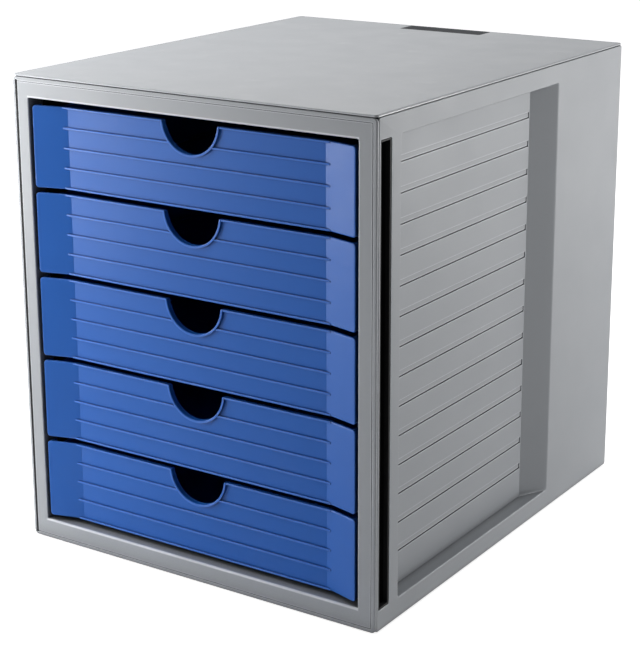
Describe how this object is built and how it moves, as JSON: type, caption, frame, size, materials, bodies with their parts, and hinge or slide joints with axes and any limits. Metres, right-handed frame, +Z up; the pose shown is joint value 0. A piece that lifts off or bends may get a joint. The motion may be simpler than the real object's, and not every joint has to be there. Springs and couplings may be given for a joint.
{
  "type": "desktop file drawer",
  "caption": "Desktop drawer cabinet: a grey open-fronted housing on rubber feet with a stack of blue file trays that slide out by half-round finger notches.",
  "frame": {"origin": "middle of the cabinet's base, on the plane that its feet stand on", "axes": "+X to the right seen from the front, +Y to the back, +Z up; the drawers face and open to -Y"},
  "size_m": [0.275, 0.33, 0.32],
  "materials": {
    "housing_plastic": "fine satin grey moulding",
    "drawer_plastic": "satin blue moulding",
    "runner_plastic": "black, lightly grained",
    "plate_plastic": "smooth dark grey, left bare",
    "foot_rubber": "dull black",
    "screw_steel": "zinc plated"
  },
  "bodies": {
    "housing": {"front_frame": "housing_plastic", "top_cover": "housing_plastic", "base_panel": "housing_plastic", "back_panel": "housing_plastic", "left_side_panel": "housing_plastic", "right_side_panel": "housing_plastic", "left_runner_wall": "runner_plastic", "right_runner_wall": "runner_plastic", "cover_plate": "plate_plastic", "rubber_foot_1": "foot_rubber", "rubber_foot_2": "foot_rubber", "rubber_foot_3": "foot_rubber", "rubber_foot_4": "foot_rubber", "back_screw_1": "screw_steel", "back_screw_2": "screw_steel", "back_screw_3": "screw_steel", "back_screw_4": "screw_steel", "back_screw_5": "screw_steel", "back_screw_6": "screw_steel"},
    "drawer_body_1": {"drawer_1": "drawer_plastic"},
    "drawer_body_2": {"drawer_2": "drawer_plastic"},
    "drawer_body_3": {"drawer_3": "drawer_plastic"},
    "drawer_body_4": {"drawer_4": "drawer_plastic"},
    "drawer_body_5": {"drawer_5": "drawer_plastic"}
  },
  "joints": [
    {"name": "drawer_1_slide", "type": "slide", "parent": "housing", "child": "drawer_body_1", "axis": [0, -1, 0], "range_m": [0, 0.225]},
    {"name": "drawer_2_slide", "type": "slide", "parent": "housing", "child": "drawer_body_2", "axis": [0, -1, 0], "range_m": [0, 0.225]},
    {"name": "drawer_3_slide", "type": "slide", "parent": "housing", "child": "drawer_body_3", "axis": [0, -1, 0], "range_m": [0, 0.225]},
    {"name": "drawer_4_slide", "type": "slide", "parent": "housing", "child": "drawer_body_4", "axis": [0, -1, 0], "range_m": [0, 0.225]},
    {"name": "drawer_5_slide", "type": "slide", "parent": "housing", "child": "drawer_body_5", "axis": [0, -1, 0], "range_m": [0, 0.225]}
  ]
}
